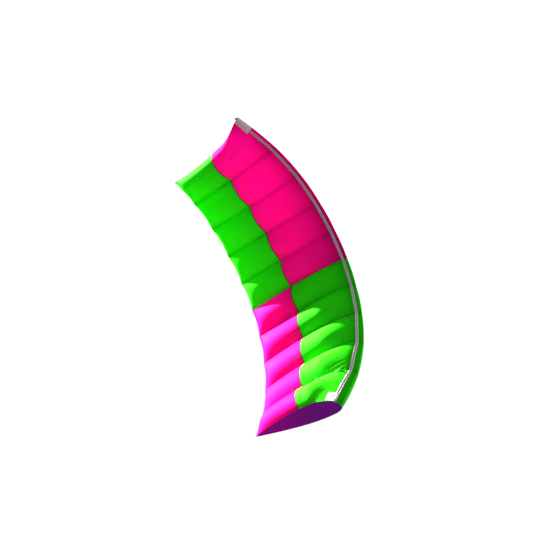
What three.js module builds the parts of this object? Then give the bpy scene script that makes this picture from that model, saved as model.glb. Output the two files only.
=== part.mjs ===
// Ten-cell ram-air power kite, shown inflated in its flying arc.
// Frame: +X along the span to the left wing tip, -Y towards the leading edge, +Z up, millimetres.
// The origin is the bottom edge of the middle bridle tab on the centre rib.
import * as THREE from 'three';

// Plan and arc
const CELLS = 10;
const HALF_SPAN = 1510; // along the arc, centre to end rib
const CHORD = 1050; // centre rib, nose to trailing edge
const ARC_TIP_ANGLE = 0.92; // slope of the arc at the end ribs, radians
const ARC_POWER = 0.855; // how early the slope builds up
const TIP_CELL_GROWTH = 0.15; // outer cells are wider than the centre ones
const TIP_CHORD_LOSS = 0.154;
const TIP_CHORD_POWER = 2.7;
const SWEEP = 168; // leading edge of the end rib behind that of the centre rib
const SWEEP_POWER = 3.3;
const TIP_TOE = 118; // trailing edge of the end rib drawn inboard
const TOE_POWER = 3.5;

// End ribs, right and left; the kite is shown held in a turn, so its tips differ
const TIP_LEAN = [0.38, 0.12]; // share of the slope taken back
const TIP_EAR = [80, 50]; // nose corner drawn outboard
const EAR_LENGTH = 0.3; // share of the chord
const TIP_HOLLOW = [34, 12]; // middle of the chord drawn inboard
const FLANK = [48, 15]; // rounded outer flank of the lower skin, depth
const FLANK_WIDTH = 100;

// Section, as shares of the chord
const UPPER_RISE = [0.095, 0.095]; // centre, tip
const LOWER_DROP = [0.075, 0.095];
const BAND_FRONT = 0.016; // air intake band on the lower side
const BAND_REAR = 0.033;
const BAND_SLIDE = [-0.02, 0.07]; // the band runs further back towards the left tip
const COLOUR_SEAM = 0.53;
const SEAM_SLIDE = 0.08; // the colour seam runs straight across, so it lies further forward on the tip ribs

// Fabric
const SKIN = 2;
const GAP = 0.4; // between neighbouring pieces
const TAIL_HALF = 2.6; // half the height left between the outer faces at the trailing edge
const BILLOW = 0.16; // bulge of a panel as a share of the cell width
const EDGE_BILLOW = 0.02; // the same at the nose and the intake band
const TAIL_FADE = 16; // the bulge keeps nearly its full depth up to the trailing edge
const SCALLOP = 14; // trailing edge drawn forward in the middle of a cell
const SPAN_STEPS = 6;
const TIP_PLACES = [0, 0.04, 0.09, 0.16, 0.24];

// Ribs
const RIB = 2.4;
const RIB_GAP = 0.6; // between the plate's edge and the inside of the skins
const RIB_TAIL = 0.945; // the rib plate ends where the skins meet
const PORTS = [[0.17, 38], [0.36, 42], [0.56, 32], [0.73, 20]]; // place along the chord, radius

// Load tapes with bridle tabs
const TAPE_RIBS = [1, 3, 5, 7, 9];
const TAPE = 2;
const TAPE_GAP = 1.4;
const TAPE_HEIGHT = 4;
const TAPE_ENDS = [0.07, 0.7];
const TABS = [0.1, 0.34, 0.62];
const TAB_WIDTH = 12;
const TAB_DROP = 14;
const TAB_HOLE_R = 1.8;
const TAB_HOLE_RISE = 5;

// Emptying flaps at the tips
const FLAP_START = 4; // from the end rib
const FLAP_WIDTH = [130, 82];
const FLAP_FRONT = [0.0004, 0.014];
const FLAP_REAR = [0.056, 0.085];
const FLAP_CLEARANCE = 2.6;
const PULL = [12, 2, 28]; // width, thickness, length
const PULL_GAP = 1.2;
const PULL_PLACE = 0.02;
const PULL_REACH = 12; // past the flap's edge

const COLOURS = {
  pink: 0xff1e80, green: 0x3ddc2b, purple: 0x6a1276, white: 0xf2f2f2, grey: 0x9c9c9c, black: 0x151515,
};

const mix = (a, b, t) => a + (b - a) * t;

// Points of the span arc from the centre out, as [x, z] at even steps of arc length.
function arcTable(steps) {
  const table = [[0, 0]];
  for (let k = 0; k < steps; k += 1) {
    const angle = ARC_TIP_ANGLE * ((k + 0.5) / steps) ** ARC_POWER;
    const [x, z] = table[k];
    table.push([x + (Math.cos(angle) * HALF_SPAN) / steps, z - (Math.sin(angle) * HALF_SPAN) / steps]);
  }
  return table;
}
const ARC = arcTable(600);

// Frame of one rib: nose point, chord direction, up direction, chord lengths and section shape.
function makeRib(index) {
  const side = Math.sign(index - CELLS / 2);
  const even = Math.abs(index - CELLS / 2) / (CELLS / 2);
  const out = (even * (1 + TIP_CELL_GROWTH * even)) / (1 + TIP_CELL_GROWTH);
  const [x, z] = ARC[Math.round(out * (ARC.length - 1))];
  const angle = side * ARC_TIP_ANGLE * out ** ARC_POWER;
  const chord = CHORD * (1 - TIP_CHORD_LOSS * out ** TIP_CHORD_POWER);
  const along = new THREE.Vector3(Math.cos(angle), 0, -Math.sin(angle));
  const toe = TIP_TOE * even ** TOE_POWER;
  const chordLine = new THREE.Vector3(0, chord, 0).addScaledVector(along, -side * toe);
  const back = chordLine.clone().normalize();
  const isEnd = even === 1;
  const tip = side > 0 ? 1 : 0;
  const lean = angle * (isEnd ? 1 - TIP_LEAN[tip] : 1);
  const up = new THREE.Vector3(Math.sin(lean), 0, Math.cos(lean));
  return {
    nose: new THREE.Vector3(side * x, SWEEP * out ** SWEEP_POWER, z),
    back,
    up,
    across: new THREE.Vector3().crossVectors(back, up),
    length: chordLine.length(),
    chord,
    rise: mix(...UPPER_RISE, out),
    drop: mix(...LOWER_DROP, out),
    slide: BAND_SLIDE[tip] * out ** 3,
    seamSlide: SEAM_SLIDE * out ** 6,
    outboard: along.clone().multiplyScalar(isEnd ? side : 0),
    ear: TIP_EAR[tip],
    hollow: TIP_HOLLOW[tip],
  };
}
const RIBS = Array.from({ length: CELLS + 1 }, (_, i) => makeRib(i));

// Section outline in the rib plane. v runs from -1 (lower trailing edge) through 0 (nose) to 1.
// The places slide along the outline with the band and with the colour seam.
function outline(rib, place) {
  const seam = Math.sqrt(COLOUR_SEAM);
  const u = THREE.MathUtils.clamp(-place / seam, 0, 1);
  const w = Math.abs(place);
  const seamShare = w < seam ? (w / seam) ** 3 : (1 - w) / (1 - seam);
  const v = place - rib.slide * 6.75 * u * (1 - u) ** 2 - Math.sign(place) * rib.seamSlide * seamShare;
  const x = v * v;
  const a = Math.abs(v);
  const half = (0.2969 * a - 0.126 * x - 0.3516 * x ** 2 + 0.2843 * x ** 3 - 0.1036 * x ** 4) / 0.1;
  const height = (v > 0 ? rib.rise : rib.drop) * rib.chord * half + TAIL_HALF * x;
  return new THREE.Vector2(x * rib.length, Math.sign(v) * height);
}

// Outline moved inwards by `inset`, measured square to the fabric.
function insetOutline(rib, v, inset) {
  const d = 1e-3;
  const run = outline(rib, Math.min(1, v + d)).sub(outline(rib, Math.max(-1, v - d))).normalize();
  return outline(rib, v).add(new THREE.Vector2(run.y, -run.x).multiplyScalar(inset));
}

// How far an end rib is drawn outboard at a share x of its length.
function outboardShift(rib, x) {
  return rib.ear * Math.max(0, 1 - x / EAR_LENGTH) ** 2 - rib.hollow * 4 * x * (1 - x);
}

function toSpace(rib, p) {
  return rib.nose.clone().addScaledVector(rib.back, p.x).addScaledVector(rib.up, p.y)
    .addScaledVector(rib.outboard, outboardShift(rib, p.x / rib.length));
}

// Share of the full bulge at v: small at the nose and band, full over the middle, none at the tail.
function bulgeShare(v) {
  const x = v * v;
  const rising = THREE.MathUtils.smoothstep(x, v > 0 ? 0 : BAND_REAR, v > 0 ? 0.3 : 0.34);
  return mix(EDGE_BILLOW / BILLOW, 1, rising) * (1 - x ** TAIL_FADE);
}

// Rounded outer flank of a tip cell's lower skin, as a depth.
function flank(cell, t, v) {
  if (v > 0 || (cell !== 0 && cell !== CELLS - 1)) return 0;
  const away = cell === 0 ? t : 1 - t;
  const width = RIBS[cell].nose.distanceTo(RIBS[cell + 1].nose);
  const rise = 1 - Math.max(0, 1 - (away * width) / FLANK_WIDTH) ** 3;
  const fade = 1 - THREE.MathUtils.smoothstep(away, 0.3, 1);
  const along = THREE.MathUtils.smoothstep(v * v, BAND_REAR, 0.34) * (1 - v ** (2 * TAIL_FADE));
  return FLANK[cell === 0 ? 0 : 1] * rise * fade * along;
}

// Point of the skin of one cell. t runs across the cell from its right rib to its left rib.
function skinPoint(cell, t, v, inset) {
  const [a, b] = [RIBS[cell], RIBS[cell + 1]];
  const [pa, pb] = [a, b].map((rib) => toSpace(rib, insetOutline(rib, v, inset)));
  const [na, nb] = [a, b].map((rib) => toSpace(rib, insetOutline(rib, v, inset - 1)));
  const outward = na.sub(pa).lerp(nb.sub(pb), t).normalize();
  const width = a.nose.distanceTo(b.nose);
  const belly = 4 * t * (1 - t);
  return pa.lerp(pb, t)
    .addScaledVector(outward, BILLOW * width * bulgeShare(v) * belly + flank(cell, t, v))
    .addScaledVector(a.back, -SCALLOP * belly * v ** 16);
}

// Closed sheet from two equal grids of points, the outer face and the inner face.
function closedSheet(outer, inner) {
  const rows = outer.length;
  const cols = outer[0].length;
  const points = [...outer.flat(), ...inner.flat()];
  const at = (layer, r, c) => layer * rows * cols + r * cols + c;
  const faces = [];
  const quad = (a, b, c, d) => faces.push(a, b, c, a, c, d);
  for (let r = 0; r + 1 < rows; r += 1) {
    for (let c = 0; c + 1 < cols; c += 1) {
      quad(at(0, r, c), at(0, r, c + 1), at(0, r + 1, c + 1), at(0, r + 1, c));
      quad(at(1, r, c), at(1, r + 1, c), at(1, r + 1, c + 1), at(1, r, c + 1));
    }
    quad(at(0, r, 0), at(0, r + 1, 0), at(1, r + 1, 0), at(1, r, 0));
    quad(at(0, r, cols - 1), at(1, r, cols - 1), at(1, r + 1, cols - 1), at(0, r + 1, cols - 1));
  }
  for (let c = 0; c + 1 < cols; c += 1) {
    quad(at(0, 0, c), at(1, 0, c), at(1, 0, c + 1), at(0, 0, c + 1));
    quad(at(0, rows - 1, c), at(0, rows - 1, c + 1), at(1, rows - 1, c + 1), at(1, rows - 1, c));
  }
  const geometry = new THREE.BufferGeometry().setFromPoints(points);
  geometry.setIndex(signedVolume(points, faces) < 0 ? faces.reverse() : faces);
  return geometry;
}

function signedVolume(points, faces) {
  let sum = 0;
  for (let i = 0; i < faces.length; i += 3) {
    const [a, b, c] = [0, 1, 2].map((k) => points[faces[i + k]]);
    sum += a.dot(new THREE.Vector3().crossVectors(b, c));
  }
  return sum / 6;
}

// Places across one or more neighbouring cells, kept half a gap away from the outer rib planes
// and closer together over the flank of a tip cell.
function spanPlaces(first, last) {
  const even = steps(0, 1, SPAN_STEPS);
  const rightTip = [...TIP_PLACES, ...even.slice(2)];
  const leftTip = rightTip.map((t) => 1 - t).reverse();
  const shares = { 0: rightTip, [CELLS - 1]: leftTip };
  const places = [];
  for (let cell = first; cell <= last; cell += 1) {
    const edge = GAP / 2 / RIBS[cell].nose.distanceTo(RIBS[cell + 1].nose);
    const from = cell === first ? edge : 0;
    const to = cell === last ? 1 - edge : 1;
    (shares[cell] ?? even).forEach((t, k) => {
      if (cell === first || k > 0) places.push([cell, mix(from, to, t)]);
    });
  }
  return places;
}

function skinSheet(first, last, stations, offset = 0) {
  const places = spanPlaces(first, last);
  const layer = (inset) => stations.map((v) => places.map(([c, t]) => skinPoint(c, t, v, inset)));
  return closedSheet(layer(-offset), layer(SKIN - offset));
}

// Even steps along v, which crowds the points towards the nose.
const steps = (from, to, count) => Array.from({ length: count + 1 }, (_, k) => mix(from, to, k / count));
const lower = (x) => -Math.sqrt(x);
const gapShare = GAP / CHORD;

const STATIONS = {
  lowerRear: [-1, ...steps(lower(RIB_TAIL), lower(COLOUR_SEAM + gapShare), 4)],
  lowerFront: steps(lower(COLOUR_SEAM), lower(BAND_REAR), 5),
  band: steps(lower(BAND_REAR - gapShare), lower(BAND_FRONT + gapShare), 2),
  upper: [...steps(lower(BAND_FRONT), Math.sqrt(RIB_TAIL), 11), 1],
};
const panel = (cell, kind) => skinSheet(cell, cell, STATIONS[kind]);
const intakeBand = (first) => skinSheet(first, first + 1, STATIONS.band);

// Plate of even thickness whose outline lies in a rib plane, centred on that plane.
function ribPlate(rib, shape, thickness) {
  const geometry = new THREE.ExtrudeGeometry(shape, { depth: thickness, bevelEnabled: false });
  geometry.translate(0, 0, -thickness / 2);
  const basis = new THREE.Matrix4().makeBasis(rib.back, rib.up, rib.across).setPosition(rib.nose);
  const place = geometry.attributes.position;
  const shares = Array.from({ length: place.count }, (_, k) => place.getX(k) / rib.length);
  geometry.applyMatrix4(basis);
  shares.forEach((x, k) => {
    const p = new THREE.Vector3().fromBufferAttribute(place, k);
    p.addScaledVector(rib.outboard, outboardShift(rib, x));
    place.setXYZ(k, p.x, p.y, p.z);
  });
  return geometry;
}

function circlePath(x, y, radius, sides = 16) {
  const turn = (k) => (2 * Math.PI * k) / sides;
  const corner = (k) => new THREE.Vector2(x + radius * Math.cos(turn(k)), y + radius * Math.sin(turn(k)));
  return new THREE.Path(Array.from({ length: sides }, (_, k) => corner(k)));
}

// The rib follows the same stations as the skins around it, up to where they meet at the tail.
function ribStations() {
  return Object.values(STATIONS).flat().filter((v) => Math.abs(v) < 1);
}

function ribSheet(index) {
  const rib = RIBS[index];
  const shape = new THREE.Shape(ribStations().map((v) => insetOutline(rib, v, SKIN + RIB_GAP)));
  const isEnd = index === 0 || index === CELLS;
  (isEnd ? [] : PORTS).forEach(([x, radius]) => {
    shape.holes.push(circlePath(x * rib.length, portHeight(rib, x), radius));
  });
  return ribPlate(rib, shape, RIB);
}

const portHeight = (rib, x) => (outline(rib, Math.sqrt(x)).y + outline(rib, lower(x)).y) / 2;

// Tape along the seam under a rib, with three tabs for the bridle lines hanging from it.
function loadTape(index) {
  const rib = RIBS[index];
  const edge = (x, below) => insetOutline(rib, lower(x), -below);
  const top = steps(TAPE_ENDS[1], TAPE_ENDS[0], 14).map((x) => edge(x, TAPE_GAP));
  const bottom = [edge(TAPE_ENDS[0], TAPE_GAP + TAPE_HEIGHT)];
  TABS.forEach((x, k) => {
    const next = TABS[k + 1] ?? TAPE_ENDS[1];
    bottom.push(...tabCorners(rib, x));
    steps(x, next, 5).slice(1, -1).forEach((place) => bottom.push(edge(place, TAPE_GAP + TAPE_HEIGHT)));
  });
  bottom.push(edge(TAPE_ENDS[1], TAPE_GAP + TAPE_HEIGHT));
  const shape = new THREE.Shape([...top, ...bottom]);
  TABS.forEach((x) => {
    const foot = tabFoot(rib, x);
    shape.holes.push(circlePath(foot.x, foot.y + TAB_HOLE_RISE, TAB_HOLE_R));
  });
  return ribPlate(rib, shape, TAPE);
}

// Middle of a tab's bottom edge, in the rib plane.
function tabFoot(rib, x) {
  return insetOutline(rib, lower(x), -(TAPE_GAP + TAPE_HEIGHT)).sub(new THREE.Vector2(0, TAB_DROP));
}

function tabCorners(rib, x) {
  const foot = tabFoot(rib, x);
  const half = TAB_WIDTH / 2;
  const [front, rear] = [foot.x - half, foot.x + half];
  const top = (px) => insetOutline(rib, lower(px / rib.length), -(TAPE_GAP + TAPE_HEIGHT)).y;
  return [[front, top(front)], [front, foot.y], [rear, foot.y], [rear, top(rear)]]
    .map(([px, py]) => new THREE.Vector2(px, py));
}

// Flap over the tip end of the intake band, lying just outside the skin.
function flapPlaces(cell) {
  const width = RIBS[cell].nose.distanceTo(RIBS[cell + 1].nose);
  const from = FLAP_START / width;
  const to = (FLAP_START + FLAP_WIDTH[cell === 0 ? 0 : 1]) / width;
  return steps(from, to, 5).map((t) => (cell === 0 ? t : 1 - t));
}

function emptyingFlap(cell) {
  const tip = cell === 0 ? 0 : 1;
  const stations = steps(lower(FLAP_FRONT[tip]), lower(FLAP_REAR[tip]), 6);
  const layer = (inset) => stations.map((v) => flapPlaces(cell).map((t) => skinPoint(cell, t, v, inset)));
  return closedSheet(layer(-FLAP_CLEARANCE - SKIN), layer(-FLAP_CLEARANCE));
}

// Short webbing strip sewn on the outer face of the flap, reaching past its tip edge.
function pullTab(cell) {
  const lift = -(FLAP_CLEARANCE + SKIN + PULL_GAP + PULL[1] / 2);
  const place = (k, v) => skinPoint(cell, flapPlaces(cell)[k], v, lift);
  const centre = place(0, lower(PULL_PLACE));
  const tipwards = centre.clone().sub(place(1, lower(PULL_PLACE))).normalize();
  const rearwards = place(0, lower(PULL_PLACE * 1.2)).sub(centre).normalize();
  const outward = new THREE.Vector3().crossVectors(rearwards, tipwards).normalize();
  const width = new THREE.Vector3().crossVectors(outward, tipwards);
  centre.addScaledVector(tipwards, PULL_REACH - PULL[2] / 2);
  const basis = new THREE.Matrix4().makeBasis(width, outward, tipwards).setPosition(centre);
  return new THREE.BoxGeometry(...PULL).applyMatrix4(basis);
}

const foot = tabFoot(RIBS[CELLS / 2], TABS[1]);
const ORIGIN = toSpace(RIBS[CELLS / 2], foot).negate();
const kite = new THREE.Group();
kite.name = 'kitesurf_kite';

function add(name, geometry, colour, roughness = 0.6) {
  geometry.translate(ORIGIN.x, ORIGIN.y, ORIGIN.z);
  const material = new THREE.MeshStandardMaterial({ color: COLOURS[colour], roughness });
  material.name = name;
  const mesh = new THREE.Mesh(geometry, material);
  mesh.name = name;
  kite.add(mesh);
}

for (let cell = 0; cell < CELLS; cell += 1) {
  const [front, rear] = cell < CELLS / 2 ? ['pink', 'green'] : ['green', 'pink'];
  add(`lower_front_panel_${cell + 1}`, panel(cell, 'lowerFront'), front);
  add(`lower_rear_panel_${cell + 1}`, panel(cell, 'lowerRear'), rear);
  add(`upper_panel_${cell + 1}`, panel(cell, 'upper'), front);
}
RIBS.forEach((_, index) => {
  const endName = { 0: 'end_rib_right', [CELLS]: 'end_rib_left' }[index];
  add(endName ?? `rib_${index}`, ribSheet(index), endName ? 'purple' : 'white');
});
[0, 2, 4, 6, 8].forEach((first) => add(`intake_band_${first / 2 + 1}`, intakeBand(first), 'grey', 0.8));
TAPE_RIBS.forEach((index) => add(`load_tape_rib_${index}`, loadTape(index), 'black', 0.8));
[['right', 0], ['left', CELLS - 1]].forEach(([side, cell]) => {
  add(`emptying_flap_${side}`, emptyingFlap(cell), 'grey', 0.8);
  add(`pull_tab_${side}`, pullTab(cell), 'black', 0.8);
});

export default kite;
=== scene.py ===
import math

import bmesh
import bpy
import numpy as np
from mathutils import Matrix, Vector


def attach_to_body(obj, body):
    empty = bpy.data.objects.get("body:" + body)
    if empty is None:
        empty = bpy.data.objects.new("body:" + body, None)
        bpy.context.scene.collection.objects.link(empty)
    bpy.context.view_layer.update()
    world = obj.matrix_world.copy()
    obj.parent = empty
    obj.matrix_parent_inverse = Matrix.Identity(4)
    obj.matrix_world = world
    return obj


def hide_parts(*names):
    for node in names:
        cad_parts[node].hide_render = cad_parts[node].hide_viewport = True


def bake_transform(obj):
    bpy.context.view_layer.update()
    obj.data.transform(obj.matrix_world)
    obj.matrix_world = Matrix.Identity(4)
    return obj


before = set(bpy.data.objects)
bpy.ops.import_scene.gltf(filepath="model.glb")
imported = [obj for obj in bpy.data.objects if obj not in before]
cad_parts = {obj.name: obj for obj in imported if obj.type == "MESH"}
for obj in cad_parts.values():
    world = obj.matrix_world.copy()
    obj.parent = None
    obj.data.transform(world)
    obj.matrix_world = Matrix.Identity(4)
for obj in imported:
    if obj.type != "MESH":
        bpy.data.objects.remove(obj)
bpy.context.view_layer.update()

# ---------------------------------------------------------------- driving dimensions, metres and radians
# In a pair for the two tips, the right one comes first.

# planform and arc
CELLS = 10
MIDDLE = CELLS // 2
END_CELLS = (0, CELLS - 1)
HALF_SPAN = 1.51
CHORD = 1.05
ARC_TIP_ANGLE, ARC_POWER, ARC_STEPS = 0.92, 0.855, 600
TIP_CELL_GROWTH = 0.15
TIP_CHORD_LOSS, TIP_CHORD_POWER = 0.154, 2.7
SWEEP, SWEEP_POWER = 0.168, 3.3
TIP_TOE, TOE_POWER = 0.118, 3.5

# rib section: height over chord at the middle and at the tips, then places as shares of the chord
UPPER_RISE, LOWER_DROP = (0.095, 0.095), (0.075, 0.095)
AEROFOIL, AEROFOIL_PEAK = (0.2969, -0.126, -0.3516, 0.2843, -0.1036), 0.1
BAND_FRONT, BAND_REAR, COLOUR_SEAM = 0.016, 0.033, 0.53
TAIL_HALF, TAIL_CLOSE, TAIL_THINNING, RIB_TAIL = 0.0026, 0.97, 0.9, 0.985
SEAM_SLIDE = 0.08

# what differs between the tips
BAND_SLIDE = (-0.02, 0.07)
TIP_LEAN, TIP_EAR, TIP_HOLLOW = (0.38, 0.12), (0.080, 0.050), (0.034, 0.012)
EAR_LENGTH = 0.30

# bulge of the cells
BILLOW, EDGE_BILLOW, TAIL_FADE, FULLNESS = 0.16, 0.02, 16, 1.04
UPPER_FULL, LOWER_FULL = 0.30, 0.34
FLANK, FLANK_WIDTH, FLANK_FADE = (0.048, 0.015), 0.10, 0.3
SCALLOP, SCALLOP_POWER = 0.014, 16

# small folds: along every seam, gathered at the left nose, and tucked at the right trailing edge
PUCKER, PUCKER_PITCHES, SECOND_PUCKER = 0.0011, (0.045, 0.029), 0.6
CELL_PHASE, SIDE_PHASE, SECOND_PHASE = 1.7, 2.1, 2.3
# SEAM_REACH also sets how far the painted shade along the rib seams reaches
SEAM_REACH, SEAM_CALM, TAIL_CALM = 0.028, 0.006, 0.985
GATHER, GATHER_PLACE, GATHER_LENGTH, GATHER_REACH = 0.002, 0.13, 0.05, 0.09
GATHER_WAVES, GATHER_CELLS = (40, 60), 3
TUCK, TUCK_LENGTH, TUCK_SKEW = 0.012, 0.06, 2.2

# ripstop: its reinforcing grid, tape and stitches on the seams, relief beside the grid's, painted shade
# along the rib seams, and painted shade behind the mesh band where the nose curves away from the light
GRID_PITCH, GRID_LINE, GRID_SHADE = 0.006, 0.16, 0.07
SEAM_TAPE, TAPE_SHADE, SEAM_SHADE, TAPE_PITCH = 0.006, 0.88, 0.22, 0.002
STITCH, STITCH_LENGTH, STITCH_ROWS = 0.0009, 0.004, (0.003, 0.009)
STITCH_SHARE, STITCH_SHADE = 0.7, 0.4
STITCH_HEIGHT, WEAVE_HEIGHT, WEAVE_ROUGHNESS, ROUGHNESS = 2.0, 0.3, 0.12, 0.5
BAND_SHADE, BAND_SHADE_LENGTH = 0.5, 0.07

# mesh band, flaps, ribs with the place and radius of each cross port, and the tab at the origin
BAND_HEM, BAND_HEM_RISE = 0.24, 0.0012
FLAP_START, FLAP_LIFT = 0.004, 0.0036
FLAP_WIDTH, FLAP_FRONT, FLAP_REAR = (0.130, 0.082), (0.0004, 0.014), (0.056, 0.085)
FLAP_HEM, FLAP_HEM_WIDTH = 0.0008, 0.09
RIB_INSET, END_RIB_INSET, RIB_NOSE, RIB_SIDE_START = 0.0012, 0.0004, 0.2, 0.05
PORTS = [(0.17, 0.038), (0.36, 0.042), (0.56, 0.032), (0.73, 0.020)]
TAB_PLACE, TAPE_DROP, TAB_DROP = 0.34, 0.0054, 0.014

# fineness of the meshes
SPAN_STEPS, FLANK_PLACES = 32, 10
LOWER_FRONT_ROWS, LOWER_REAR_ROWS, UPPER_FRONT_ROWS, UPPER_REAR_ROWS = 41, 37, 45, 21
FLAP_PLACES = 25
RIB_SIDE_PLACES, RIB_NOSE_PLACES, PORT_PLACES = 60, 21, 32
SLOPE_STEP, EDGE_STEP = 1e-3, 1e-4

# camera, seen from the nose of the centre rib
CAMERA = Vector((2.971, -3.171, -7.575))
CAMERA_RIGHT = Vector((0.3054, -0.7844, 0.5398))
CAMERA_UP = Vector((-0.8820, -0.4467, -0.1502))
LENS = 68.3

# light: a low sun, a bright sky above, haze on one side, and a floor well below the kite
SUN_FROM, SUN_POWER, SUN_COLOUR = (-0.70, 0.70, 0.12), 78.0, (1.0, 0.76, 0.92)
SUN_WIDTH = math.radians(1.5)
SKY_HEIGHT, SKY_LIGHT = (0.1, 0.4), (0.27, 1.05)
HAZE_FROM, HAZE_EDGE, HAZE = (-0.95, -0.1, 0.25), 0.4, 1.7
FLOOR_HALF, FLOOR_HEIGHT = 8.0, -9.0


# ---------------------------------------------------------------- shape of the canopy
def smooth(x, low, high):
    t = np.clip((x - low) / (high - low), 0, 1)
    return t * t * (3 - 2 * t)


class Rib:
    """Frame of one rib: nose point, chord and up directions, lengths and section."""

    def __init__(self, index):
        side = np.sign(index - MIDDLE)
        even = abs(index - MIDDLE) / MIDDLE
        out = even * (1 + TIP_CELL_GROWTH * even) / (1 + TIP_CELL_GROWTH)
        tip = int(side > 0)
        is_end = even == 1
        angles = ARC_TIP_ANGLE * ((np.arange(ARC_STEPS) + 0.5) / ARC_STEPS) ** ARC_POWER
        reached = angles[:int(math.floor(out * ARC_STEPS + 0.5))]
        x, z = np.cos(reached).sum() / ARC_STEPS, -np.sin(reached).sum() / ARC_STEPS
        self.nose = np.array([side * x * HALF_SPAN, SWEEP * out**SWEEP_POWER, z * HALF_SPAN])
        self.chord = CHORD * (1 - TIP_CHORD_LOSS * out**TIP_CHORD_POWER)
        angle = side * ARC_TIP_ANGLE * out**ARC_POWER
        along = np.array([math.cos(angle), 0, -math.sin(angle)])
        line = np.array([0, self.chord, 0]) - along * side * TIP_TOE * even**TOE_POWER
        self.length = float(np.linalg.norm(line))
        self.back = line / self.length
        lean = angle * (1 - TIP_LEAN[tip] * is_end)
        self.up = np.array([math.sin(lean), 0, math.cos(lean)])
        self.across = np.cross(self.back, self.up)
        self.outboard = side * along * is_end
        self.ear, self.hollow = TIP_EAR[tip], TIP_HOLLOW[tip]
        self.slide, self.seam_slide = BAND_SLIDE[tip] * out**3, SEAM_SLIDE * out**6
        self.rise = UPPER_RISE[0] + (UPPER_RISE[1] - UPPER_RISE[0]) * out
        self.drop = LOWER_DROP[0] + (LOWER_DROP[1] - LOWER_DROP[0]) * out

    def slid(self, v):
        """Places on the section after the mesh band and the colour seam slide along it.

        The band slides most a third of the way to the seam, where u (1 - u)^2 is 4 / 27.
        """
        seam = math.sqrt(COLOUR_SEAM)
        u, w = np.clip(-v / seam, 0, 1), np.abs(v)
        share = np.where(w < seam, (w / seam) ** 3, (1 - w) / (1 - seam))
        band_shift = self.slide * 27 / 4 * u * (1 - u) ** 2
        return v - band_shift - np.sign(v) * self.seam_slide * share

    def section(self, v):
        """Section points without an inset."""
        v = self.slid(v)
        x, a = v * v, np.abs(v)
        half = sum(share * term for share, term in zip(AEROFOIL, (a, x, x**2, x**3, x**4)))
        height = np.where(v > 0, self.rise, self.drop) * self.chord * half / AEROFOIL_PEAK
        tail = TAIL_HALF * x * (1 - TAIL_THINNING * smooth(x, TAIL_CLOSE, 1))
        return np.stack([x * self.length, np.sign(v) * (height + tail)], -1)

    def outline(self, v, inset=0.0):
        """Section points in the rib plane; v runs from -1, the lower trailing edge, to 1."""
        v = np.asarray(v, float)
        run = self.section(np.minimum(1, v + SLOPE_STEP)) - self.section(np.maximum(-1, v - SLOPE_STEP))
        run /= np.linalg.norm(run, axis=-1, keepdims=True)
        return self.section(v) + inset * np.stack([run[..., 1], -run[..., 0]], -1)

    def space(self, p):
        """Points in space of points in the rib plane; an end rib flares at the nose and is hollow."""
        p = np.asarray(p)
        x = p[..., :1] / self.length
        ear = self.ear * np.clip(1 - x / EAR_LENGTH, 0, 1) ** 2
        hollow = self.hollow * 4 * x * (1 - x)
        return self.nose + p[..., :1] * self.back + p[..., 1:2] * self.up + (ear - hollow) * self.outboard


def place_ribs():
    """All the ribs, with the origin at the foot of the centre rib's tab."""
    ribs = [Rib(index) for index in range(CELLS + 1)]
    foot = ribs[MIDDLE].outline(-math.sqrt(TAB_PLACE), -TAPE_DROP) - (0, TAB_DROP)
    origin = ribs[MIDDLE].space(foot)
    for rib in ribs:
        rib.nose = rib.nose - origin
    return ribs


RIBS = place_ribs()


def width_of(cell):
    return float(np.linalg.norm(RIBS[cell].nose - RIBS[cell + 1].nose))


def skin(cell, t, v, inset=0.0, puckers=True):
    """Points of the skin of a cell on the grid of v (rows) and t (columns), and outward unit vectors."""
    a, b = RIBS[cell], RIBS[cell + 1]
    pa, pb = (rib.space(rib.outline(v, inset))[:, None] for rib in (a, b))
    na, nb = (rib.space(rib.outline(v, inset - SLOPE_STEP))[:, None] for rib in (a, b))
    across = t[None, :, None]
    out = (na - pa) * (1 - across) + (nb - pb) * across
    out /= np.linalg.norm(out, axis=-1, keepdims=True)
    x = v * v
    full = np.where(v > 0, smooth(x, 0, UPPER_FULL), smooth(x, BAND_REAR, LOWER_FULL))
    fade = 1 - x**TAIL_FADE
    share = (EDGE_BILLOW / BILLOW + (1 - EDGE_BILLOW / BILLOW) * full) * fade
    belly = 4 * t * (1 - t)
    rise = BILLOW * width_of(cell) * share[:, None] * belly[None]
    rise = rise + flank(cell, t)[None] * (full * (v < 0) * fade)[:, None]
    points = pa * (1 - across) + pb * across + out * rise[..., None]
    points = points - a.back * (SCALLOP * (v**SCALLOP_POWER)[:, None] * belly[None])[..., None]
    if puckers:
        points = points + out * pucker(cell, t, v)[..., None]
    return points, out


def flank(cell, t):
    """Depth of the rounded outer flank of a tip cell's lower skin."""
    if cell not in END_CELLS:
        return 0 * t
    away = np.clip(t if cell == 0 else 1 - t, 0, 1)
    rise = 1 - (1 - np.clip(away * width_of(cell) / FLANK_WIDTH, 0, 1)) ** 3
    return FLANK[int(cell > 0)] * rise * (1 - smooth(away, FLANK_FADE, 1))


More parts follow.
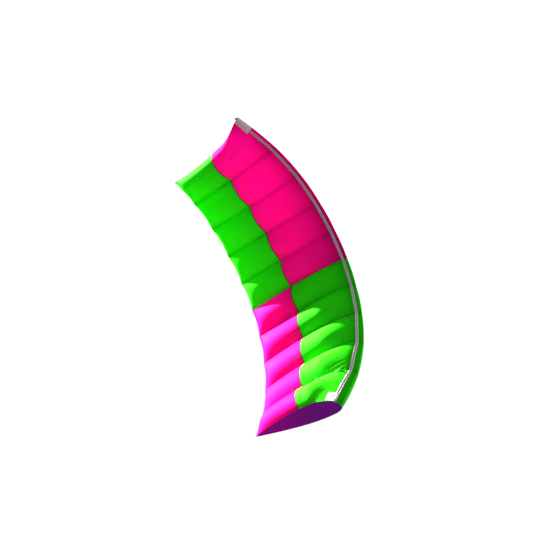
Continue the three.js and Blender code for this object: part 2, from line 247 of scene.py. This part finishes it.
def pucker(cell, t, v):
    """Height of the small folds that the seams pull into the cloth; none on the seams themselves."""
    near = np.minimum(t, 1 - t)[None] * width_of(cell)
    along = (np.sign(v) * v * v * CHORD)[:, None]
    below = (v < 0)[:, None]
    phase = CELL_PHASE * cell + SIDE_PHASE * (t >= 0.5)[None]
    tail_calm = (1 - smooth(np.abs(v), TAIL_CALM, 1.0))[:, None]
    calm = np.minimum(1, near / SEAM_CALM) * tail_calm
    long_wave, short_wave = (along * 2 * math.pi / pitch for pitch in PUCKER_PITCHES)
    ripple = np.sin(long_wave + phase) + SECOND_PUCKER * np.sin(short_wave + SECOND_PHASE * phase)
    height = PUCKER * ripple * np.exp(-near / SEAM_REACH) * calm
    if cell >= CELLS - GATHER_CELLS:
        gather = np.exp(-np.abs(along + GATHER_PLACE) / GATHER_LENGTH) * np.exp(-near / GATHER_REACH)
        wave = np.sin(t * GATHER_WAVES[0] + along * GATHER_WAVES[1] + phase)
        height = height + GATHER * wave * gather * below * calm
    if cell < MIDDLE:
        near_tail = np.exp(-(1 - v * v) / TUCK_LENGTH)[:, None]
        arch = (np.sin(math.pi * t) * np.exp(-t * TUCK_SKEW))[None]
        height = height + TUCK * near_tail * arch * below * tail_calm
    return height


# ---------------------------------------------------------------- mesh helpers
def link_object(name, mesh):
    obj = bpy.data.objects.new(name, mesh)
    bpy.context.scene.collection.objects.link(obj)
    return obj


def mesh_object(name, verts, faces, uv=None):
    mesh = bpy.data.meshes.new(name)
    mesh.from_pydata([tuple(p) for p in verts], [], faces)
    if uv is not None:
        layer = mesh.uv_layers.new(name="UVMap")
        loops = np.zeros(len(mesh.loops), np.int32)
        mesh.loops.foreach_get("vertex_index", loops)
        layer.data.foreach_set("uv", np.asarray(uv, np.float32)[loops].ravel())
    mesh.validate()
    mesh.shade_smooth()
    mesh.update()
    return link_object(name, mesh)


def grid_faces(rows, cols, flip):
    faces = []
    for r in range(rows - 1):
        for c in range(cols - 1):
            f = (r * cols + c, r * cols + c + 1, (r + 1) * cols + c + 1, (r + 1) * cols + c)
            faces.append(f[::-1] if flip else f)
    return faces


def attribute(obj, name, values):
    data = obj.data.attributes.new(name, "FLOAT", "POINT")
    data.data.foreach_set("value", np.asarray(values, np.float32).ravel())


def sheet_object(name, points, out):
    """Grid of cloth with its faces outward and a UV map in metres."""
    rows, cols = points.shape[:2]
    step_u = np.linalg.norm(np.diff(points, axis=1), axis=-1)
    step_v = np.linalg.norm(np.diff(points, axis=0), axis=-1)
    u = np.concatenate([np.zeros((rows, 1)), np.cumsum(step_u, 1)], 1)
    v = np.concatenate([np.zeros((1, cols)), np.cumsum(step_v, 0)], 0)
    normal = np.cross(points[0, 1] - points[0, 0], points[1, 0] - points[0, 0])
    flip = float(normal @ out[0, 0]) < 0
    uv = np.stack([u, v], -1).reshape(-1, 2)
    return mesh_object(name, points.reshape(-1, 3), grid_faces(rows, cols, flip), uv)


# ---------------------------------------------------------------- riding on the bodies
def attach(obj, cell):
    """Ride a tip cell's cloth on its tip; other cloth keeps its place, baked into its mesh."""
    side, sign = ("right", -1) if cell < MIDDLE else ("left", 1)
    if cell in END_CELLS:
        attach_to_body(obj, f"tip_{side}")
        return
    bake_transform(obj)


def attach_rib(obj, index):
    """Ride a rib on its body; a rib between two bodies goes as the cell inboard of it does, keeping its
    place baked into its mesh.
    """
    side = "right" if index < MIDDLE else "left"
    if index == MIDDLE:
        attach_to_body(obj, "centre")
    elif abs(index - MIDDLE) == 2:
        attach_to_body(obj, f"mid_{side}")
    elif abs(index - MIDDLE) >= 4:
        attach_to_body(obj, f"tip_{side}")
    else:
        attach(obj, index if index < MIDDLE else index - 1)


# ---------------------------------------------------------------- materials
class Nodes:
    """Short names for building the nodes of a material or a world."""

    def __init__(self, owner):
        self.owner = owner
        owner.use_nodes = True
        self.tree = owner.node_tree
        self.tree.nodes.clear()

    def add(self, kind, settings=None, **inputs):
        """A node with its settings; i0, i1 are inputs by place, and others are by name."""
        node = self.tree.nodes.new(kind)
        for key, value in (settings or {}).items():
            setattr(node, key, value)
        for key, value in inputs.items():
            socket = node.inputs[int(key[1:]) if key[1:].isdigit() else key.replace("_", " ")]
            if isinstance(value, bpy.types.NodeSocket):
                self.tree.links.new(value, socket)
            else:
                socket.default_value = value
        return node

    def math(self, op, a, b=0.0, c=0.0):
        return self.add("ShaderNodeMath", {"operation": op}, i0=a, i1=b, i2=c).outputs[0]

    def product(self, *factors):
        total = factors[0]
        for factor in factors[1:]:
            total = self.math("MULTIPLY", total, factor)
        return total

    def darker(self, value, amount):
        """A factor that falls from 1 by the amount where the value is 1."""
        return self.math("MULTIPLY_ADD", value, -amount, 1.0)

    def attr(self, name):
        return self.add("ShaderNodeAttribute", {"attribute_name": name}).outputs["Fac"]

    def noise(self, vector, scale, detail):
        return self.add("ShaderNodeTexNoise", None, Vector=vector, Scale=scale, Detail=detail).outputs["Fac"]

    def drift(self, vector, scale, amount):
        """A factor near 1 that wanders slowly over the cloth."""
        return self.math("MULTIPLY_ADD", self.noise(vector, scale, 3.0), amount, 1 - amount / 2)

    def scaled(self, vector, scale):
        return self.add("ShaderNodeVectorMath", {"operation": "SCALE"}, i0=vector, Scale=scale).outputs[0]

    def mixed(self, factor, first, second):
        settings = {"data_type": "RGBA"}
        return self.add("ShaderNodeMix", settings, i0=factor, i6=(*first, 1), i7=(*second, 1)).outputs[2]

    def bump(self, height, strength, distance):
        node = self.add("ShaderNodeBump", None, Strength=strength, Distance=distance, Height=height)
        return node.outputs[0]

    def principled(self, **inputs):
        return self.add("ShaderNodeBsdfPrincipled", None, **inputs).outputs[0]

    def lit_through(self, front, glow, **back):
        """The front shader with a share of light coming through from behind."""
        through = self.add("ShaderNodeBsdfTranslucent", None, **back).outputs[0]
        return self.add("ShaderNodeMixShader", None, i0=glow, i1=front, i2=through).outputs[0]

    def finish(self, shader, kind="Material"):
        out = self.add(f"ShaderNodeOutput{kind}")
        self.tree.links.new(shader, out.inputs["Surface"])
        return self.owner


def material_nodes(name):
    return Nodes(bpy.data.materials.new(name))


def ripstop(name, colour, through, glow):
    """Coated ripstop: a fine reinforcing grid, faint colour drift, stitches, painted shade along the rib
    seams and behind the mesh band, a darker tape on the colour seam, and light from behind.
    """
    n = material_nodes(name)
    uv = n.add("ShaderNodeUVMap", {"uv_map": "UVMap"}).outputs[0]
    split = n.add("ShaderNodeSeparateXYZ", i0=uv)
    cycles = [n.math("FRACT", n.math("MULTIPLY", split.outputs[k], 1 / GRID_PITCH)) for k in (0, 1)]
    grid = n.math("MAXIMUM", *(n.math("LESS_THAN", cycle, GRID_LINE) for cycle in cycles))
    weave = n.noise(uv, scale=900.0, detail=2.0)

    away = n.attr("edge_distance")
    offsets = [n.math("ABSOLUTE", n.math("SUBTRACT", away, row)) for row in STITCH_ROWS]
    on_row = n.math("MAXIMUM", *(n.math("LESS_THAN", offset, STITCH / 2) for offset in offsets))
    run = n.math("MULTIPLY", n.math("ADD", split.outputs[0], split.outputs[1]), 1 / STITCH_LENGTH)
    stitches = n.math("MULTIPLY", on_row, n.math("LESS_THAN", n.math("FRACT", run), STITCH_SHARE))

    drift = n.drift(uv, scale=7.0, amount=0.12)
    cloth_shade = n.product(drift, n.darker(grid, GRID_SHADE), n.darker(stitches, STITCH_SHADE))
    # painted shade along the rib seams and behind the mesh band, and the darker tape on the colour seam,
    # scale the colour down here
    shade = n.product(cloth_shade, n.darker(n.attr("seam"), SEAM_SHADE), n.darker(n.attr("painted_shade_and_tape"), 1.0))
    threads = n.math("MULTIPLY_ADD", stitches, STITCH_HEIGHT, grid)
    bump = n.bump(n.math("MULTIPLY_ADD", weave, WEAVE_HEIGHT, threads), strength=0.25, distance=0.0003)
    rough = n.math("MULTIPLY_ADD", weave, WEAVE_ROUGHNESS, ROUGHNESS)
    tint = n.scaled(colour, shade)
    front = n.principled(Base_Color=tint, Roughness=rough, Normal=bump, Specular_IOR_Level=0.002)
    return n.finish(n.lit_through(front, glow, Color=n.scaled(through, shade), Normal=bump))


def woven(name, colour, pitch=0.0015, contrast=0.25, rough=0.75, glow=0.0, edging=None):
    """Plain woven cloth, webbing or mesh: two crossing sets of threads, with hems in the edging colour."""
    n = material_nodes(name)
    uv = n.add("ShaderNodeUVMap", {"uv_map": "UVMap"}).outputs[0]
    split = n.add("ShaderNodeSeparateXYZ", i0=uv)
    waves = [n.math("SINE", n.math("MULTIPLY", split.outputs[k], 2 * math.pi / pitch)) for k in (0, 1)]
    weave = n.math("MULTIPLY_ADD", n.math("MULTIPLY", *waves), 0.5, 0.5)
    drift = n.drift(uv, scale=30.0, amount=0.2)
    shade = n.product(n.math("MULTIPLY_ADD", weave, contrast, 1 - contrast), drift)
    tint = n.scaled(n.mixed(n.attr("hem"), colour, edging) if edging else colour, shade)
    bump = n.bump(weave, strength=0.4, distance=0.0004)
    front = n.principled(Base_Color=tint, Roughness=rough, Normal=bump)
    return n.finish(n.lit_through(front, glow, Color=tint) if glow else front)


def seam_tape(name, front_colour, rear_colour):
    """Narrow woven tape dyed to match the two cloths it is sewn along."""
    n = material_nodes(name)
    place = n.add("ShaderNodeTexCoord").outputs["Object"]
    y = n.add("ShaderNodeSeparateXYZ", i0=place).outputs["Y"]
    seam_y = float(RIBS[MIDDLE].nose[1]) + COLOUR_SEAM * CHORD
    colour = n.mixed(n.math("GREATER_THAN", y, seam_y), front_colour, rear_colour)
    weave = n.math("SINE", n.math("MULTIPLY", y, 2 * math.pi / TAPE_PITCH))
    bump = n.bump(weave, strength=0.4, distance=0.0003)
    return n.finish(n.principled(Base_Color=colour, Roughness=0.7, Normal=bump))


# each ripstop's colour, the colour of light coming through it, and the share of that light
RIPSTOP_COLOURS = {
    "pink": ((0.84, 0.006, 0.26), (0.97, 0.008, 0.5), 0.32),
    "green": ((0.034, 0.88, 0.01), (0.008, 0.74, 0.005), 0.26),
    "purple": ((0.31, 0.012, 0.44), (0.40, 0.06, 0.46), 0.06),
    "white": ((0.85, 0.85, 0.85), (0.85, 0.85, 0.85), 0.35),
}
RIPSTOP = {name: ripstop(f"ripstop_{name}", *look) for name, look in RIPSTOP_COLOURS.items()}
FLAP_CLOTH = woven("flap_cloth", (0.86, 0.87, 0.87), contrast=0.15, glow=0.4, edging=(0.92, 0.86, 0.87))
MESH = woven("intake_mesh", (0.42, 0.38, 0.41), pitch=0.004, contrast=0.5, edging=(0.78, 0.75, 0.77))
WEBBING = woven("webbing", (0.02, 0.02, 0.022), pitch=0.002, contrast=0.5, rough=0.6)
PINK_TAPE, GREEN_TAPE = (0.55, 0.003, 0.12), (0.01, 0.35, 0.004)
RIGHT_TAPE = seam_tape("tape_right", PINK_TAPE, GREEN_TAPE)
LEFT_TAPE = seam_tape("tape_left", GREEN_TAPE, PINK_TAPE)


# ---------------------------------------------------------------- pieces
def finish_sheet(obj, material, node):
    """Material and replaced node of a piece of cloth."""
    obj.data.materials.append(material)
    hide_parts(node)


def span_places(cell):
    """Even places across a cell, with more of them over the rounded flank of a tip cell."""
    t = np.linspace(0, 1, SPAN_STEPS + 1)
    if cell not in END_CELLS:
        return t
    edge = FLANK_WIDTH / width_of(cell) * np.linspace(0, 1, FLANK_PLACES) ** 2
    t = np.union1d(t[t > edge[-1]], edge)
    return t if cell == 0 else np.sort(1 - t)


def lower_rows(front, rear, count):
    """Even places along the lower skin, with two more where the tape on the colour seam ends."""
    tape_edge = np.array([SEAM_TAPE, SEAM_TAPE + EDGE_STEP]) / CHORD
    side = 1 if front == COLOUR_SEAM else -1
    return -np.sqrt(np.union1d(np.linspace(front, rear, count), COLOUR_SEAM + side * tape_edge))


def panel(name, cell, v, colour, node):
    """A panel of a cell's skin; its attributes say where seams, painted shade and stitches lie."""
    t = span_places(cell)
    points, out = skin(cell, t, v)
    obj = sheet_object(name, points, out)
    t_at, v_at = np.meshgrid(t, v)
    x, seam = v_at * v_at, math.sqrt(COLOUR_SEAM)
    near = np.minimum(t_at, 1 - t_at) * width_of(cell)
    from_seam = np.abs(np.abs(v_at) - seam) * 2 * seam * CHORD
    from_band = np.where(v_at < 0, np.maximum(x - BAND_REAR, 0), 1) * CHORD
    # painted shade behind the mesh band, standing in for the nose curving away from the light
    band_shade = BAND_SHADE * np.exp(-from_band / BAND_SHADE_LENGTH)
    # painted shade: the cloth grows darker towards each rib seam, standing in for the ribs' shadows through
    # the cloth
    attribute(obj, "seam", np.exp(-near / SEAM_REACH))
    # this attribute holds the painted shade behind the band, and the tape on the colour seam, which is real
    # cloth made darker
    attribute(obj, "painted_shade_and_tape", np.maximum(band_shade, TAPE_SHADE * (from_seam < SEAM_TAPE)))
    attribute(obj, "edge_distance", np.minimum(np.minimum(near, from_seam), (1 - x) * CHORD))
    finish_sheet(obj, RIPSTOP[colour], node)
    attach(obj, cell)


def build_panels():
    """Four panels a cell: pink ahead of the colour seam on the right half, and behind it on the left."""
    seam = math.sqrt(COLOUR_SEAM)
    rows = {
        "lower_front": lower_rows(BAND_REAR, COLOUR_SEAM, LOWER_FRONT_ROWS),
        "lower_rear": lower_rows(COLOUR_SEAM, 1, LOWER_REAR_ROWS),
        "upper_front": np.linspace(-math.sqrt(BAND_FRONT), seam, UPPER_FRONT_ROWS),
        "upper_rear": np.linspace(seam, 1, UPPER_REAR_ROWS),
    }
    for cell in range(CELLS):
        for place, v in rows.items():
            colour = "pink" if (cell < MIDDLE) == place.endswith("front") else "green"
            node = "upper_panel" if place.startswith("upper") else f"{place}_panel"
            panel(f"{place}_{cell + 1}", cell, v, colour, f"{node}_{cell + 1}")


def build_intake():
    """The mesh band under the nose, with a raised hem along both its edges."""
    share = np.array([0, 0.08, 0.16, 0.24, 0.25, 0.4, 0.5, 0.6, 0.75, 0.76, 0.84, 0.92, 1])
    from_edge = np.minimum(share, 1 - share)
    hem = from_edge < BAND_HEM + EDGE_STEP
    rise = BAND_HEM_RISE * hem * np.sin(from_edge / BAND_HEM * math.pi)
    v = -np.sqrt(BAND_FRONT + (BAND_REAR - BAND_FRONT) * share)
    for cell in range(CELLS):
        t = span_places(cell)
        points, out = skin(cell, t, v, puckers=False)
        points = points + out * rise[:, None, None]
        obj = sheet_object(f"intake_mesh_{cell + 1}", points, out)
        attribute(obj, "hem", hem[:, None] + 0 * t[None])
        finish_sheet(obj, MESH, f"intake_band_{cell // 2 + 1}")
        attach(obj, cell)


def port_outline(rib, x, radius):
    """Round cross port at x of the chord, midway between the two skins."""
    middle = (rib.outline(math.sqrt(x))[1] + rib.outline(-math.sqrt(x))[1]) / 2
    turn = np.linspace(0, 2 * math.pi, PORT_PLACES, endpoint=False)
    return np.stack([x * rib.length + radius * np.cos(turn), middle + radius * np.sin(turn)], -1)


def rib_mesh(name, rib, loops, side):
    """Cloth that fills a rib's outline, leaves its ports open and faces out to its own side."""
    bm = bmesh.new()
    edges = []
    for loop in loops:
        ring = [bm.verts.new(tuple(rib.space(p))) for p in loop]
        edges += [bm.edges.new(pair) for pair in zip(ring, ring[1:] + ring[:1])]
    bmesh.ops.triangle_fill(bm, use_beauty=True, use_dissolve=False, edges=edges)
    for face in bm.faces:
        if float(np.dot(face.normal, rib.across)) * side < 0:
            face.normal_flip()
    layer = bm.loops.layers.uv.new("UVMap")
    for face in bm.faces:
        for corner in face.loops:
            p = np.array(corner.vert.co) - rib.nose
            corner[layer].uv = (float(p @ rib.back), float(p @ rib.up))
    mesh = bpy.data.meshes.new(name)
    bm.to_mesh(mesh)
    bm.free()
    return mesh


def build_rib(index):
    rib = RIBS[index]
    is_end = index in (0, CELLS)
    side_places = np.sqrt(np.linspace(RIB_SIDE_START, RIB_TAIL, RIB_SIDE_PLACES))
    nose_places = np.linspace(-RIB_NOSE, RIB_NOSE, RIB_NOSE_PLACES)
    v = np.concatenate([-side_places[::-1], nose_places, side_places])
    edge = rib.outline(v, END_RIB_INSET if is_end else RIB_INSET)
    ports = [] if is_end else [port_outline(rib, x, radius) for x, radius in PORTS]
    mesh = rib_mesh(f"rib_{index}", rib, [edge, *ports], 1 if index >= MIDDLE else -1)
    obj = link_object(f"rib_sheet_{index}", mesh)
    for key in ("seam", "painted_shade_and_tape", "edge_distance"):
        attribute(obj, key, np.zeros(len(mesh.vertices)))
    material, slot = ("purple", "ripstop_purple") if is_end else ("white", "rib_fabric")
    node = {0: "end_rib_right", CELLS: "end_rib_left"}.get(index, f"rib_{index}")
    finish_sheet(obj, RIPSTOP[material], node)
    attach_rib(obj, index)


def build_flaps():
    """The two emptying flaps under the nose of the end cells, hemmed on three sides."""
    for tip, (cell, side) in enumerate(zip(END_CELLS, ("right", "left"))):
        start = FLAP_START / width_of(cell)
        t = np.linspace(start, start + FLAP_WIDTH[tip] / width_of(cell), FLAP_PLACES)
        rows = np.linspace(0, 1, FLAP_PLACES)
        front, rear = math.sqrt(FLAP_FRONT[tip]), math.sqrt(FLAP_REAR[tip])
        v = -(front + (rear - front) * rows)
        points, out = skin(cell, t if cell == 0 else 1 - t, v, -FLAP_LIFT, puckers=False)
        cols_at, rows_at = np.meshgrid(np.linspace(0, 1, FLAP_PLACES), rows)
        hem = np.minimum(1 - rows_at, np.minimum(cols_at, 1 - cols_at)) < FLAP_HEM_WIDTH
        points = points + out * (FLAP_HEM * hem)[..., None]
        obj = sheet_object(f"flap_cloth_{side}", points, out)
        attribute(obj, "hem", hem)
        finish_sheet(obj, FLAP_CLOTH, f"emptying_flap_{side}")
        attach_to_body(obj, f"flap_{side}")


def finish_cad_nodes():
    """The load tapes and pull tabs keep their CAD shapes and get these materials."""
    for name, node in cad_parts.items():
        if name.startswith("pull_tab"):
            material = WEBBING
        elif name.startswith("load_tape"):
            material = RIGHT_TAPE if int(name.rsplit("_", 1)[1]) <= MIDDLE else LEFT_TAPE
        else:
            continue
        for slot in node.material_slots:
            slot.link = "OBJECT"
            slot.material = material


# ---------------------------------------------------------------- stage
def build_floor():
    h = FLOOR_HALF
    corners = [(x, y, FLOOR_HEIGHT) for x, y in ((-h, -h), (h, -h), (h, h), (-h, h))]
    floor = mesh_object("floor", corners, [(0, 1, 2, 3)])
    n = material_nodes("floor_paper")
    floor.data.materials.append(n.finish(n.principled(Base_Color=(0.75, 0.75, 0.75, 1), Roughness=0.9)))
    floor.visible_diffuse = False


def build_sky():
    """Soft studio light: brighter from above, with a broad glow from one side."""
    world = bpy.data.worlds.new("studio")
    n = Nodes(world)
    towards = n.add("ShaderNodeTexCoord").outputs["Generated"]
    up = n.add("ShaderNodeSeparateXYZ", i0=towards).outputs["Z"]
    ramp = n.add("ShaderNodeMapRange", None, Value=up, From_Min=SKY_HEIGHT[0], From_Max=SKY_HEIGHT[1],
                 To_Min=SKY_LIGHT[0], To_Max=SKY_LIGHT[1])
    centre = Vector(HAZE_FROM).normalized()
    facing = n.add("ShaderNodeVectorMath", {"operation": "DOT_PRODUCT"}, i0=towards, i1=centre)
    haze = n.add("ShaderNodeMapRange", {"interpolation_type": "SMOOTHSTEP"}, Value=facing.outputs["Value"],
                 From_Min=HAZE_EDGE, From_Max=1.0, To_Min=0.0, To_Max=HAZE)
    strength = n.math("ADD", ramp.outputs["Result"], haze.outputs["Result"])
    background = n.add("ShaderNodeBackground", None, Color=(1, 1, 1, 1), Strength=strength)
    bpy.context.scene.world = n.finish(background.outputs[0], "World")


def build_sun():
    sun = bpy.data.lights.new("sun", "SUN")
    sun.color, sun.energy, sun.angle = SUN_COLOUR, SUN_POWER, SUN_WIDTH
    lamp = link_object("sun", sun)
    lamp.rotation_mode = "QUATERNION"
    lamp.rotation_quaternion = Vector(SUN_FROM).to_track_quat("Z", "Y")


def build_camera():
    data = bpy.data.cameras.new("camera")
    data.lens, data.sensor_width = LENS, 36
    data.clip_start, data.clip_end = 0.05, 200
    camera = link_object("camera", data)
    right = CAMERA_RIGHT.normalized()
    up = (CAMERA_UP - right * CAMERA_UP.dot(right)).normalized()
    place = Matrix((right, up, right.cross(up))).transposed().to_4x4()
    place.translation = Vector(RIBS[MIDDLE].nose) + CAMERA
    camera.matrix_world = place
    bpy.context.scene.camera = camera


build_camera()
build_floor()
build_sky()
build_sun()
build_panels()
build_intake()
for index in range(CELLS + 1):
    build_rib(index)
build_flaps()
finish_cad_nodes()
bpy.context.scene.view_settings.view_transform = "Standard"
